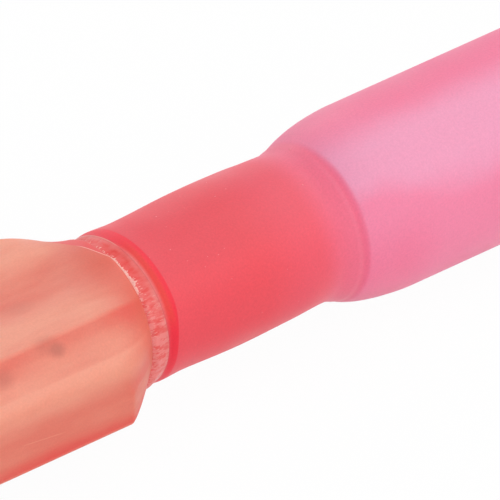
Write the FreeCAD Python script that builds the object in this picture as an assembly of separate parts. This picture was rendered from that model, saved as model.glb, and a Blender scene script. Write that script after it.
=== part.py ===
"""Heat shrink female spade terminal for a 6.3 x 0.8 mm tab and 0.5 to 1.5 mm2 wire.

The terminal lies along X. The tab goes in at the -X end, the wire at the +X end, and +Z is up.
The origin is on the barrel's axis, at the barrel's wire end. All lengths are in millimetres.
"""
import FreeCAD
import Part
import math
import os

# Tab that the receptacle takes
TAB_WIDTH = 6.3
TAB_THICKNESS = 0.8
TAB_SIDE_PLAY = 0.1

# Stamped terminal
STOCK = 0.4
RECEPTACLE_LENGTH = 8.0
CURL_RADIUS = 1.5
BEND_RADIUS = 0.1
DIMPLE_RADIUS = 0.8
DIMPLE_RISE = 0.2
TAPER_LENGTH = 1.4
TROUGH_LENGTH = 2.0
BARREL_BORE = 2.1
BARREL_LENGTH = 8.0
SEAM_GAP = 0.08

# Nylon housing: the hood over the receptacle, its shoulder and the sleeve over the barrel
MOUTH_RECESS = 1.0
MOUTH_BEVEL = 0.2
HOOD_LENGTH = 10.5
HOOD_WIDTH = 8.4
HOOD_THICKNESS = 5.0
HOOD_CHAMFER = 1.3
LOWER_CHAMFER_WIDTH = 1.55
CHANNEL_WIDTH = 2.9
CHANNEL_DEPTH = 0.15
FLUTE_DEPTH = 0.07
FLUTE_LAND = 0.28
CAVITY_CLEARANCE = 0.05
CAVITY_HEIGHT = 3.0
CAVITY_CORNER = 0.6
SHOULDER_LENGTH = 2.0
SHOULDER_RIM = 2.78
SHOULDER_BULGE = 0.14
SLEEVE_WALL = 0.6
BARREL_CLEARANCE = 0.05
FUNNEL_LENGTH = 1.15
FUNNEL_RIM_WALL = 0.25
RIM_LENGTH = 0.7
RIM_FLARE = 0.15

# Dual-wall tube: the jacket outside and the adhesive liner inside
TUBE_DIAMETER = 6.6
TUBE_LENGTH = 22.0
JACKET_WALL = 0.4
LINER_WALL = 0.2
SHRUNK_LINER_WALL = 0.23
LIP_ROUNDING = 0.12
GRIP_BULGE = 0.03
GRIP_WAIST = 0.08
FLARE_LENGTH = 3.65
BEAD_LENGTH = 0.8
BEAD_SINK = 0.08

# Sizes of the terminal that the other pieces follow
inner_width = TAB_WIDTH + 2 * TAB_SIDE_PLAY
receptacle_width = inner_width + 2 * STOCK
barrel_inner = BARREL_BORE / 2
barrel_outer = barrel_inner + STOCK
floor_z = -barrel_outer
tab_bottom = floor_z + STOCK
tab_top = tab_bottom + TAB_THICKNESS

# Stations along X
barrel_end = 0.0
barrel_start = barrel_end - BARREL_LENGTH
trough_start = barrel_start - TROUGH_LENGTH
receptacle_end = trough_start - TAPER_LENGTH
receptacle_start = receptacle_end - RECEPTACLE_LENGTH
mouth = receptacle_start - MOUTH_RECESS
hood_end = mouth + HOOD_LENGTH
junction = hood_end + SHOULDER_LENGTH
lip = junction + BEAD_LENGTH
sleeve_end = barrel_end + FUNNEL_LENGTH
flare_start = sleeve_end - RIM_LENGTH
flare_end = flare_start + FLARE_LENGTH
tube_end = lip + TUBE_LENGTH

# Radii about the barrel's axis
bore_radius = barrel_outer + BARREL_CLEARANCE
sleeve_radius = bore_radius + SLEEVE_WALL
rim_radius = sleeve_radius + RIM_FLARE
lip_radius = sleeve_radius + SHRUNK_LINER_WALL + JACKET_WALL
tube_radius = TUBE_DIAMETER / 2


def vec(x, y, z):
    """Return a vector."""
    return FreeCAD.Vector(x, y, z)


def line(start, end):
    """Return a straight edge."""
    return Part.LineSegment(start, end).toShape()


def arc(start, middle, end):
    """Return the arc through three points."""
    return Part.Arc(start, middle, end).toShape()


def turned(edges):
    """Revolve a closed outline in the upper XZ half plane about X."""
    face = Part.Face(Part.Wire(edges))
    return face.revolve(vec(0, 0, 0), vec(1, 0, 0), 360)


def extruded(edges, length):
    """Extrude a closed outline in a YZ plane towards +X."""
    return Part.Face(Part.Wire(edges)).extrude(vec(length, 0, 0))


def loop(points):
    """Return the straight edges round a closed list of points."""
    return [line(a, b) for a, b in zip(points, points[1:] + points[:1])]


def settling_arc(x0, r0, x1, r1):
    """Return the arc in XZ from (x0, r0) that ends level at (x1, r1)."""
    dx = x1 - x0
    dr = r1 - r0
    radius = (dx * dx + dr * dr) / (2 * dr)
    half = math.asin(dx / radius) / 2
    middle = vec(x1 - radius * math.sin(half), 0, r1 - radius * (1 - math.cos(half)))
    return arc(vec(x0, 0, r0), middle, vec(x1, 0, r1))


def wing(side):
    """Return one curled wing of the receptacle, on the +Y (1) or -Y (-1) side."""
    x = receptacle_start
    outer = receptacle_width / 2
    inner = outer - STOCK
    bend = BEND_RADIUS + STOCK
    bend_y = outer - bend
    bend_z = floor_z + bend
    curl_y = outer - CURL_RADIUS
    curl_in = CURL_RADIUS - STOCK
    diagonal = math.sqrt(0.5)

    def at(y, z):
        return vec(x, side * y, z)

    edges = [
        line(at(0, floor_z), at(bend_y, floor_z)),
        arc(at(bend_y, floor_z), at(bend_y + bend * diagonal, bend_z - bend * diagonal), at(outer, bend_z)),
        line(at(outer, bend_z), at(outer, tab_top)),
        arc(at(outer, tab_top), at(curl_y, tab_top + CURL_RADIUS), at(curl_y - CURL_RADIUS, tab_top)),
        line(at(curl_y - CURL_RADIUS, tab_top), at(curl_y - curl_in, tab_top)),
        arc(at(curl_y - curl_in, tab_top), at(curl_y, tab_top + curl_in), at(inner, tab_top)),
        line(at(inner, tab_top), at(inner, bend_z)),
        arc(
            at(inner, bend_z),
            at(bend_y + BEND_RADIUS * diagonal, bend_z - BEND_RADIUS * diagonal),
            at(bend_y, tab_bottom),
        ),
        line(at(bend_y, tab_bottom), at(0, tab_bottom)),
        line(at(0, tab_bottom), at(0, floor_z)),
    ]
    return extruded(edges, RECEPTACLE_LENGTH)


def dimple():
    """Return the cap on the receptacle's floor that snaps into the tab's hole."""
    ball_radius = (DIMPLE_RADIUS**2 + DIMPLE_RISE**2) / (2 * DIMPLE_RISE)
    x = receptacle_start + RECEPTACLE_LENGTH / 2
    ball = Part.makeSphere(ball_radius, vec(x, 0, tab_bottom + DIMPLE_RISE - ball_radius))
    wide = 2 * DIMPLE_RADIUS
    sunk = tab_bottom - STOCK / 2
    slab = Part.makeBox(wide, wide, tab_bottom + DIMPLE_RISE - sunk, vec(x - wide / 2, -wide / 2, sunk))
    return ball.common(slab)


def trough():
    """Return the neck, where the barrel's walls rise from the strip up to the barrel's axis."""
    ring = pipe(trough_start, TROUGH_LENGTH)
    side = [
        vec(trough_start, -barrel_outer, floor_z),
        vec(barrel_start, -barrel_outer, floor_z),
        vec(barrel_start, -barrel_outer, 0),
        vec(trough_start, -barrel_outer, tab_bottom),
    ]
    return ring.common(Part.Face(Part.Wire(loop(side))).extrude(vec(0, 2 * barrel_outer, 0)))


def pipe(x, length):
    """Return a length of the rolled barrel, seam not yet cut."""
    along = vec(1, 0, 0)
    outside = Part.makeCylinder(barrel_outer, length, vec(x, 0, 0), along)
    return outside.cut(Part.makeCylinder(barrel_inner, length, vec(x, 0, 0), along))


def female_terminal():
    """Return the stamped terminal: receptacle, neck and crimp barrel in one strip."""
    wide = receptacle_width / 2 - STOCK - BEND_RADIUS
    narrow = math.sqrt(barrel_outer**2 - barrel_inner**2)
    overlap = trough_start + STOCK
    strip = [
        vec(receptacle_end, -wide, floor_z),
        vec(trough_start, -narrow, floor_z),
        vec(overlap, -narrow, floor_z),
        vec(overlap, narrow, floor_z),
        vec(trough_start, narrow, floor_z),
        vec(receptacle_end, wide, floor_z),
    ]
    taper = Part.Face(Part.Wire(loop(strip))).extrude(vec(0, 0, STOCK))
    seam = Part.makeBox(BARREL_LENGTH, SEAM_GAP, barrel_outer, vec(barrel_start, -SEAM_GAP / 2, 0))
    barrel = pipe(barrel_start, BARREL_LENGTH).cut(seam)
    return wing(1).fuse([wing(-1), dimple(), taper, trough(), barrel]).removeSplitter()


def hood_corners():
    """Return the (y, z) corners of the hood's eight-sided section, in order from the +Y side upwards."""
    y = HOOD_WIDTH / 2
    z = HOOD_THICKNESS / 2
    edge = z - HOOD_CHAMFER
    upper = y - HOOD_CHAMFER
    lower = y - LOWER_CHAMFER_WIDTH
    return [(y, edge), (upper, z), (-upper, z), (-y, edge), (-y, -edge), (-lower, -z), (lower, -z), (y, -edge)]


def shoulder_section(share, x):
    """Return the shoulder's outline at x, from the hood's section (share 0) to the round rim (share 1)."""
    corners = hood_corners()
    edges = []
    for (y0, z0), (y1, z1) in zip(corners, corners[1:] + corners[:1]):
        points = []
        for y, z in ((y0, z0), ((y0 + y1) / 2, (z0 + z1) / 2), (y1, z1)):
            scale = 1 - share + share * SHOULDER_RIM / math.hypot(y, z)
            points.append(vec(x, y * scale, z * scale))
        if share:
            edges.append(arc(*points))
        else:
            edges.append(line(points[0], points[2]))
    return Part.Wire(edges)


def groove(start, end, depth):
    """Return a long cylinder that cuts a shallow round groove in one side of the hood.

    start and end are the groove's edges as (y, z), in the order in which the hood's corners run.
    """
    across_y = end[0] - start[0]
    across_z = end[1] - start[1]
    width = math.hypot(across_y, across_z)
    radius = (width * width / 4 + depth * depth) / (2 * depth)
    reach = (radius - depth) / width
    middle_y = (start[0] + end[0]) / 2 + reach * across_z
    middle_z = (start[1] + end[1]) / 2 - reach * across_y
    return Part.makeCylinder(radius, HOOD_LENGTH + SHOULDER_LENGTH, vec(mouth, middle_y, middle_z), vec(1, 0, 0))


def chamfer_groove(low, high):
    """Return the flute's cutter for the chamfer from corner low on the narrow side to corner high."""
    share = FLUTE_LAND / math.hypot(high[0] - low[0], high[1] - low[1])
    edge = (low[0] + share * (high[0] - low[0]), low[1] + share * (high[1] - low[1]))
    ordered = (edge, high) if low[0] * high[1] > low[1] * high[0] else (high, edge)
    return groove(*ordered, FLUTE_DEPTH)


def grooves():
    """Return the cutters for the channels on the wide sides and the flutes on the chamfers."""
    corners = hood_corners()
    half = CHANNEL_WIDTH / 2
    top = HOOD_THICKNESS / 2
    cutters = [groove((half, top), (-half, top), CHANNEL_DEPTH), groove((-half, -top), (half, -top), CHANNEL_DEPTH)]
    for low, high in ((0, 1), (3, 2), (4, 5), (7, 6)):
        cutters.append(chamfer_groove(corners[low], corners[high]))
    return cutters


def slot_outline(x, width, height, corner):
    """Return the edges of a rectangle with rounded corners, in the YZ plane at x."""
    edges = []
    start = vec(x, width / 2, height / 2 - corner)
    for across, up, turn in ((1, 1, 0), (-1, 1, 90), (-1, -1, 180), (1, -1, 270)):
        y = across * (width / 2 - corner)
        z = up * (height / 2 - corner)
        points = []
        for angle in (turn, turn + 45, turn + 90):
            swing = math.radians(angle)
            points.append(vec(x, y + corner * math.cos(swing), z + corner * math.sin(swing)))
        if edges:
            edges.append(line(start, points[0]))
        edges.append(arc(*points))
        start = points[2]
    edges.append(line(start, edges[0].firstVertex().Point))
    return edges


def housing_inside():
    """Return the space inside the housing: cavity, passage, barrel bore and wire funnel."""
    width = receptacle_width + 2 * CAVITY_CLEARANCE
    cavity_end = trough_start + CAVITY_CLEARANCE
    cavity = extruded(slot_outline(mouth, width, CAVITY_HEIGHT, CAVITY_CORNER), cavity_end - mouth)
    spread = 2 * MOUTH_BEVEL
    widened = slot_outline(mouth, width + spread, CAVITY_HEIGHT + spread, CAVITY_CORNER + MOUTH_BEVEL)
    narrowed = slot_outline(mouth + MOUTH_BEVEL, width, CAVITY_HEIGHT, CAVITY_CORNER)
    bevel = Part.makeLoft([Part.Wire(widened), Part.Wire(narrowed)], True, True)
    passage = math.hypot(barrel_outer, barrel_outer) + BARREL_CLEARANCE
    funnel = rim_radius - FUNNEL_RIM_WALL
    bore = turned(
        [
            line(vec(cavity_end, 0, 0), vec(cavity_end, 0, passage)),
            line(vec(cavity_end, 0, passage), vec(trough_start + TROUGH_LENGTH / 2, 0, passage)),
            line(vec(trough_start + TROUGH_LENGTH / 2, 0, passage), vec(barrel_start, 0, bore_radius)),
            line(vec(barrel_start, 0, bore_radius), vec(barrel_end, 0, bore_radius)),
            line(vec(barrel_end, 0, bore_radius), vec(sleeve_end, 0, funnel)),
            line(vec(sleeve_end, 0, funnel), vec(sleeve_end, 0, 0)),
            line(vec(sleeve_end, 0, 0), vec(cavity_end, 0, 0)),
        ]
    )
    return [cavity, bevel, bore]


def nylon_housing():
    """Return the moulded housing: fluted hood, domed shoulder and flared sleeve."""
    corners = [vec(mouth, y, z) for y, z in hood_corners()]
    hood = extruded(loop(corners), HOOD_LENGTH)
    middle = (hood_end + junction) / 2
    shoulder = Part.makeLoft(
        [
            shoulder_section(0, hood_end),
            shoulder_section(0.5 - SHOULDER_BULGE, middle),
            shoulder_section(1, junction),
        ],
        True,
        False,
    )
    sleeve = turned(
        [
            line(vec(hood_end, 0, 0), vec(hood_end, 0, sleeve_radius)),
            line(vec(hood_end, 0, sleeve_radius), vec(flare_start, 0, sleeve_radius)),
            line(vec(flare_start, 0, sleeve_radius), vec(sleeve_end, 0, rim_radius)),
            line(vec(sleeve_end, 0, rim_radius), vec(sleeve_end, 0, 0)),
            line(vec(sleeve_end, 0, 0), vec(hood_end, 0, 0)),
        ]
    )
    slab = Part.makeBox(
        sleeve_end - mouth, HOOD_WIDTH, HOOD_THICKNESS, vec(mouth, -HOOD_WIDTH / 2, -HOOD_THICKNESS / 2)
    )
    body = hood.fuse([shoulder, sleeve]).common(slab)
    return body.cut(grooves() + housing_inside()).removeSplitter()


def jacket_outside():
    """Return the edges of the jacket's outer outline from the lip to the open end."""
    bulge = lip_radius + GRIP_BULGE
    waist = lip_radius - GRIP_WAIST
    middle = (lip + flare_start) / 2
    rounding = LIP_ROUNDING
    return [
        arc(
            vec(lip, 0, lip_radius - rounding),
            vec(lip + rounding * (1 - math.sqrt(0.5)), 0, lip_radius - rounding * (1 - math.sqrt(0.5))),
            vec(lip + rounding, 0, lip_radius),
        ),
        arc(vec(lip + rounding, 0, lip_radius), vec(middle, 0, bulge), vec(flare_start, 0, waist)),
        settling_arc(flare_start, waist, flare_end, tube_radius),
        line(vec(flare_end, 0, tube_radius), vec(tube_end, 0, tube_radius)),
    ]


def jacket_inside():
    """Return the edges of the surface that jacket and liner share, from the lip to the open end."""
    bulge = lip_radius + GRIP_BULGE - JACKET_WALL
    waist = lip_radius - GRIP_WAIST - JACKET_WALL
    free = tube_radius - JACKET_WALL
    middle = (lip + flare_start) / 2
    return [
        arc(vec(lip, 0, lip_radius - JACKET_WALL), vec(middle, 0, bulge), vec(flare_start, 0, waist)),
        settling_arc(flare_start, waist, flare_end, free),
        line(vec(flare_end, 0, free), vec(tube_end, 0, free)),
    ]


def shrink_jacket():
    """Return the outer layer of the tube, shrunk on the sleeve and wide behind it."""
    inner = lip_radius - JACKET_WALL
    ends = [
        line(vec(lip, 0, inner), vec(lip, 0, lip_radius - LIP_ROUNDING)),
        line(vec(tube_end, 0, tube_radius), vec(tube_end, 0, tube_radius - JACKET_WALL)),
    ]
    return turned(Part.__sortEdges__(ends + jacket_outside() + jacket_inside()))


def adhesive_liner():
    """Return the hot-melt inner layer of the tube, with the bead squeezed out at the shoulder."""
    free = tube_radius - JACKET_WALL - LINER_WALL
    bead = lip_radius - BEAD_SINK
    edges = [
        line(vec(junction, 0, sleeve_radius), vec(junction, 0, bead)),
        line(vec(junction, 0, bead), vec(lip, 0, bead)),
        line(vec(lip, 0, bead), vec(lip, 0, lip_radius - JACKET_WALL)),
        *jacket_inside(),
        line(vec(tube_end, 0, tube_radius - JACKET_WALL), vec(tube_end, 0, free)),
        line(vec(tube_end, 0, free), vec(flare_end, 0, free)),
        settling_arc(sleeve_end, rim_radius, flare_end, free),
        line(vec(sleeve_end, 0, rim_radius), vec(flare_start, 0, sleeve_radius)),
        line(vec(flare_start, 0, sleeve_radius), vec(junction, 0, sleeve_radius)),
    ]
    return turned(Part.__sortEdges__(edges))


def main():
    """Build each piece and write it as a STEP file."""
    os.makedirs("parts", exist_ok=True)
    pieces = {
        "female_terminal": female_terminal(),
        "nylon_housing": nylon_housing(),
        "shrink_jacket": shrink_jacket(),
        "adhesive_liner": adhesive_liner(),
    }
    for name, shape in pieces.items():
        solid = shape if shape.ShapeType == "Solid" else shape.Solids[0]
        solid.exportStep(os.path.join("parts", name + ".step"))
        print(name, "solids", len(shape.Solids), "valid", shape.isValid(), "volume", round(shape.Volume, 3))


main()
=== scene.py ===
"""Looks of a heat shrink female spade terminal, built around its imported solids.

All lengths are in metres, in the frame of the solids: X runs along the terminal from the tab's mouth to
the tube's open end, +Z is up, and the origin is on the crimp barrel's axis at the barrel's wire end. Only
the places and ranges of the finishes are in millimetres.
"""
import logging
import math
from dataclasses import dataclass, field
from enum import Enum, IntEnum

import bpy
from bpy.types import Material, NodeSocket, NodeTree, Object, World
from mathutils import Matrix, Vector, noise


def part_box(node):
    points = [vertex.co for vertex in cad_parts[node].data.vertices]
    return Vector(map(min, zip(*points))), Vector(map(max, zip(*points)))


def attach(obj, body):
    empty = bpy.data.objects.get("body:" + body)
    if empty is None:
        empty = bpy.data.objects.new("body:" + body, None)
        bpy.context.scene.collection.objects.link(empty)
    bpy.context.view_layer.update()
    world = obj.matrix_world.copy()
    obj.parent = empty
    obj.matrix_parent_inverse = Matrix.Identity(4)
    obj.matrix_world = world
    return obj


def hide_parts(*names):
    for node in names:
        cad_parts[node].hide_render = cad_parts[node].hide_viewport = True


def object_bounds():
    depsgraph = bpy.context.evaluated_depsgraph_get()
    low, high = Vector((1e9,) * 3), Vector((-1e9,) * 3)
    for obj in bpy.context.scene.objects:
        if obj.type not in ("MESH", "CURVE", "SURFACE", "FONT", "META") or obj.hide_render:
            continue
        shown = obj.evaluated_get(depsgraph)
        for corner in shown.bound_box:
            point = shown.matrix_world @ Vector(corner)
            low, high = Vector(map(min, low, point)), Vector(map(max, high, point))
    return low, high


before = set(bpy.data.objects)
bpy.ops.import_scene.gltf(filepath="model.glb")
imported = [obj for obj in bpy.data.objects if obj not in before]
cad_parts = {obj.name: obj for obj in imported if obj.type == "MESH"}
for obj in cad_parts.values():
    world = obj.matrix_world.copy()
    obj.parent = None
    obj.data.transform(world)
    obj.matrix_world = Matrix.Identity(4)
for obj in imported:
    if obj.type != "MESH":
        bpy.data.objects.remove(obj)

MM = 0.001
CAD_BOX = [list(corner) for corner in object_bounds()]
BODY = "root"
LOG = logging.getLogger("terminal")
WHITE = (1.0, 1.0, 1.0)
# The angle round X, from +Y, of the side that faces up in the main view.
UPWARD = math.atan2(0.752, 0.659)
# The direction in which the tube's painted highlight is strongest.
LIT_SIDE = (0.0, -0.563, 0.826)
# The places of the colour sockets on a Mix node, and of the number sockets on a Random Value node.
MIX_UNDER, MIX_OVER, MIX_RESULT = 6, 7, 2
RANDOM_LEAST, RANDOM_MOST, RANDOM_RESULT = 2, 3, 1
# The named inputs of a scatter's tree, each set from the field of that name.
LUMP_SIZES = ("Density", "Small", "Large", "Stretch", "Flat")

Triple = tuple[float, float, float]
Colour = Triple
Range = tuple[float, float]
Inputs = dict[str | int, object]
Outputs = dict[str | int, "Signal"]


def srgb(red: int, green: int, blue: int) -> Colour:
    """Return a colour written in screen steps of 0 to 255 as linear light.

    Args:
        red: The red step.
        green: The green step.
        blue: The blue step.

    Returns:
        The three linear shares.
    """

    def linear(step: int) -> float:
        """Return one channel as linear light."""
        share = step / 255
        return share / 12.92 if share <= 0.04045 else ((share + 0.055) / 1.055) ** 2.4

    return linear(red), linear(green), linear(blue)


def mm(*values: float) -> tuple[float, ...]:
    """Return lengths in millimetres as metres."""
    return tuple(value * MM for value in values)


def ramp(value: float, reach: Range) -> float:
    """Return how far a value lies along a range, with soft ends.

    Args:
        value: The value.
        reach: Where the result is 0 and where it is 1, in either order.

    Returns:
        The share, 0 or 1 outside the range.
    """
    share = min(max((value - reach[0]) / (reach[1] - reach[0]), 0.0), 1.0)
    return share * share * (3 - 2 * share)


def height(y: "Signal | float", z: "Signal | float") -> "Signal | float":
    """Return how far a place in a section lies towards the side that faces up in the main view."""
    return y * math.cos(UPWARD) + z * math.sin(UPWARD)


class Ease(Enum):
    """How a mask passes from nothing to full."""

    STRAIGHT = "LINEAR"
    SOFT = "SMOOTHSTEP"


class Mix(Enum):
    """How one colour goes over another."""

    OVER = "MIX"
    TIMES = "MULTIPLY"


class Carries(Enum):
    """What a node group's socket carries."""

    NUMBER = "NodeSocketFloat"
    COUNT = "NodeSocketInt"
    VECTOR = "NodeSocketVector"
    COLOUR = "NodeSocketColor"
    MATERIAL = "NodeSocketMaterial"
    SHAPE = "NodeSocketGeometry"


@dataclass(frozen=True)
class Signal:
    """A value in a node tree, with which sums are written as with plain numbers.

    Attributes:
        graph: The graph of its tree.
        socket: The output that gives it.
    """

    graph: "Graph"
    socket: NodeSocket

    def __add__(self, other: "Signal | float") -> "Signal":
        """Return the sum."""
        return self.graph.math("ADD", self, other)

    def __sub__(self, other: "Signal | float") -> "Signal":
        """Return the difference."""
        return self.graph.math("SUBTRACT", self, other)

    def __rsub__(self, other: float) -> "Signal":
        """Return a plain number less the value."""
        return self.graph.math("SUBTRACT", other, self)

    def __mul__(self, other: "Signal | float") -> "Signal":
        """Return the product."""
        return self.graph.math("MULTIPLY", self, other)

    def __truediv__(self, other: "Signal | float") -> "Signal":
        """Return the quotient."""
        return self.graph.math("DIVIDE", self, other)

    def __rtruediv__(self, other: float) -> "Signal":
        """Return a plain number divided by the value."""
        return self.graph.math("DIVIDE", other, self)

    def most(self, other: "Signal | float") -> "Signal":
        """Return the larger of two values."""
        return self.graph.math("MAXIMUM", self, other)

    def swing(self, amount: "Signal | float") -> "Signal":
        """Return a noise of 0 to 1 as one that swings round 0, as strongly as amount."""
        return (self - 0.5) * amount

    def span(self, reach: Range, ease: Ease = Ease.SOFT) -> "Signal":
        """Return a mask that grows with the value.

        Args:
            reach: Where the mask is 0 and where it is 1, in either order.
            ease: How it grows.

        Returns:
            The mask.
        """
        falls = reach[1] < reach[0]
        inputs = {"Value": self, "From Min": min(reach), "From Max": max(reach)}
        inputs |= {"To Min": float(falls), "To Max": float(not falls)}
        return self.graph.node("ShaderNodeMapRange", inputs, interpolation_type=ease.value)["Result"]

    def within(self, reach: Range, softness: float) -> "Signal":
        """Return a mask that is 1 where the value lies in a range, with sides as soft as softness."""
        inputs = {"Value": self, "From": reach[0], "To": reach[1], "Softness": softness}
        return Effects.place(self.graph, "band", inputs)["Mask"]

    def axes(self) -> tuple["Signal", "Signal", "Signal"]:
        """Return a vector's X, Y and Z."""
        parts = self.graph.node("ShaderNodeSeparateXYZ", {"Vector": self})
        return parts["X"], parts["Y"], parts["Z"]

    def cloud(self, scale: "Signal | float", detail: float = 2.0, roughness: float = 0.5) -> "Signal":
        """Return a soft noise of 0 to 1 at the place that the value gives.

        Args:
            scale: How many blotches lie on a millimetre.
            detail: How many finer layers it has.
            roughness: How strong the finer layers are.

        Returns:
            The noise.
        """
        inputs = {"Vector": self, "Scale": scale, "Detail": detail, "Roughness": roughness}
        return self.graph.node("ShaderNodeTexNoise", inputs)[0]

    def raised(self, depth: float) -> "Signal":
        """Return the normal of a surface that the value raises by up to depth, in metres."""
        inputs = {"Height": self, "Distance": depth, "Strength": 1.0}
        return self.graph.node("ShaderNodeBump", inputs)["Normal"]


@dataclass(frozen=True)
class Graph:
    """A node tree being built, with short calls that add nodes and join their sockets.

    Attributes:
        tree: The tree that gets the nodes.
    """

    tree: NodeTree

    @classmethod
    def of(cls, holder: Material | World) -> "Graph":
        """Empty the tree of a material or a world.

        Args:
            holder: The material or the world.

        Returns:
            The graph of its own tree.
        """
        holder.use_nodes = True
        holder.node_tree.nodes.clear()
        return cls(holder.node_tree)

    def node(self, kind: str, inputs: Inputs | None = None, **settings: object) -> Outputs:
        """Add a node.

        Args:
            kind: The node's type name.
            inputs: A plain value, or a value in the tree, for each input by its name or its number.
            **settings: The node's own properties.

        Returns:
            The node's outputs, each by its name and by its number.
        """
        made = self.tree.nodes.new(kind)
        for name, value in settings.items():
            setattr(made, name, value)
        for name, value in (inputs or {}).items():
            target = made.inputs[name]
            if isinstance(value, Signal):
                self.tree.links.new(value.socket, target)
            elif isinstance(value, tuple) and target.type == "RGBA":
                target.default_value = (*value, 1.0)
            else:
                target.default_value = value
        outputs: Outputs = {}
        for number, socket in enumerate(made.outputs):
            outputs[number] = Signal(self, socket)
            outputs.setdefault(socket.name, outputs[number])
        return outputs

    def math(self, operation: str, first: object, second: object = 0.0, clamp: bool = False) -> Signal:
        """Add one sum of two values.

        Args:
            operation: The sum's name, such as MULTIPLY.
            first: The first value.
            second: The second value.
            clamp: Whether the result stays within 0 and 1.

        Returns:
            The result.
        """
        return self.node("ShaderNodeMath", {0: first, 1: second}, operation=operation, use_clamp=clamp)[0]

    def vector(self, operation: str, first: Signal, second: Signal | Triple = (0.0, 0.0, 0.0)) -> Outputs:
        """Add one sum of two vectors and return its outputs, Vector and Value."""
        return self.node("ShaderNodeVectorMath", {0: first, 1: second}, operation=operation)

    def blend(self, amount: object, under: object, over: object, how: Mix = Mix.OVER) -> Signal:
        """Lay one colour over another.

        Args:
            amount: How much of the upper colour shows.
            under: The lower colour.
            over: The upper colour.
            how: The way that they mix.

        Returns:
            The mixed colour.
        """
        inputs = {0: amount, MIX_UNDER: under, MIX_OVER: over}
        return self.node("ShaderNodeMix", inputs, data_type="RGBA", blend_type=how.value)[MIX_RESULT]

    def mark(self, name: str) -> Signal:
        """Return a number that the mesh holds at each of its points."""
        return self.node("ShaderNodeAttribute", attribute_name=name)["Fac"]

    def place(self) -> Signal:
        """Return the object's own place in millimetres."""
        source = self.node("ShaderNodeTexCoord")["Object"]
        return self.node("ShaderNodeVectorMath", {0: source, "Scale": 1 / MM}, operation="SCALE")["Vector"]

    def seen(self) -> Signal:
        """Return 1 where the camera sees a thing, straight, mirrored or through glass, and else 0."""
        rays = self.node("ShaderNodeLightPath")
        return rays["Is Camera Ray"].most(rays["Is Glossy Ray"]).most(rays["Is Transmission Ray"])


def open_tree(
    name: str, kind: str, inputs: dict[str, Carries], outputs: dict[str, Carries]
) -> tuple[Graph, Outputs]:
    """Start a node group with named sockets.

    Args:
        name: The group's name.
        kind: The type name of its tree.
        inputs: What each named input carries.
        outputs: What each named output carries.

    Returns:
        The group's graph, and its inputs as values in it.
    """
    tree = bpy.data.node_groups.new(name, kind)
    for way, sockets in (("INPUT", inputs), ("OUTPUT", outputs)):
        for title, carries in sockets.items():
            tree.interface.new_socket(title, in_out=way, socket_type=carries.value)
    graph = Graph(tree)
    return graph, graph.node("NodeGroupInput")


class Effects:
    """Shader node groups that several finishes share, each built once."""

    _built: dict[str, NodeTree] = {}

    @classmethod
    def place(cls, graph: Graph, name: str, inputs: Inputs) -> Outputs:
        """Put a shared group into a material.

        Args:
            graph: The material's graph.
            name: The group's name, one of this class's methods.
            inputs: A value for each named input.

        Returns:
            The group's outputs.
        """
        if name not in cls._built:
            cls._built[name] = getattr(cls, name)()
        return graph.node("ShaderNodeGroup", inputs, node_tree=cls._built[name])

    @staticmethod
    def band() -> NodeTree:
        """Build a mask that is 1 between two places, with soft sides.

        Returns:
            The group's tree.
        """
        inputs = dict.fromkeys(("Value", "From", "To", "Softness"), Carries.NUMBER)
        graph, given = open_tree("band", "ShaderNodeTree", inputs, {"Mask": Carries.NUMBER})
        rise = (given["Value"] - given["From"]) / given["Softness"]
        fall = (given["To"] - given["Value"]) / given["Softness"]
        around_edge = (-0.5, 0.5)
        graph.node("NodeGroupOutput", {"Mask": rise.span(around_edge) * fall.span(around_edge)})
        return graph.tree

    @staticmethod
    def moulded() -> NodeTree:
        """Build the fine cloudiness and grain of a moulded or drawn plastic.

        Returns:
            The group's tree.
        """
        inputs = {"Place": Carries.VECTOR, "Cloud size": Carries.NUMBER, "Grain size": Carries.NUMBER}
        outputs = {"Cloud": Carries.NUMBER, "Grain": Carries.NUMBER}
        graph, given = open_tree("moulded", "ShaderNodeTree", inputs, outputs)
        cloud = given["Place"].cloud(1.0 / given["Cloud size"], detail=3.0)
        grain = given["Place"].cloud(1.0 / given["Grain size"])
        graph.node("NodeGroupOutput", {"Cloud": cloud, "Grain": grain})
        return graph.tree

    @staticmethod
    def speckled() -> NodeTree:
        """Build a colour that a fine grain makes a little lighter and darker.

        Returns:
            The group's tree.
        """
        inputs = {"Colour": Carries.COLOUR, "Grain": Carries.NUMBER, "Amount": Carries.NUMBER}
        graph, given = open_tree("speckled", "ShaderNodeTree", inputs, {"Colour": Carries.COLOUR})
        level = given["Grain"].swing(given["Amount"]) + 1.0
        grey = graph.node("ShaderNodeCombineColor", {"Red": level, "Green": level, "Blue": level})["Color"]
        graph.node("NodeGroupOutput", {"Colour": graph.blend(1.0, given["Colour"], grey, Mix.TIMES)})
        return graph.tree


@dataclass(frozen=True)
class Streaks:
    """A soft noise that is drawn out along the terminal.

    Attributes:
        stretch: The factor on each axis of the place; below 1 draws the noise out.
        scale: How many streaks lie on a millimetre.
        detail: How many finer layers it has.
        roughness: How strong the finer layers are.
    """

    stretch: Triple
    scale: float
    detail: float = 4.0
    roughness: float = 0.6

    def at(self, place: Signal) -> Signal:
        """Return the noise at a place."""
        drawn = place.graph.node("ShaderNodeMapping", {"Vector": place, "Scale": self.stretch})["Vector"]
        return drawn.cloud(self.scale, self.detail, self.roughness)


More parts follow.
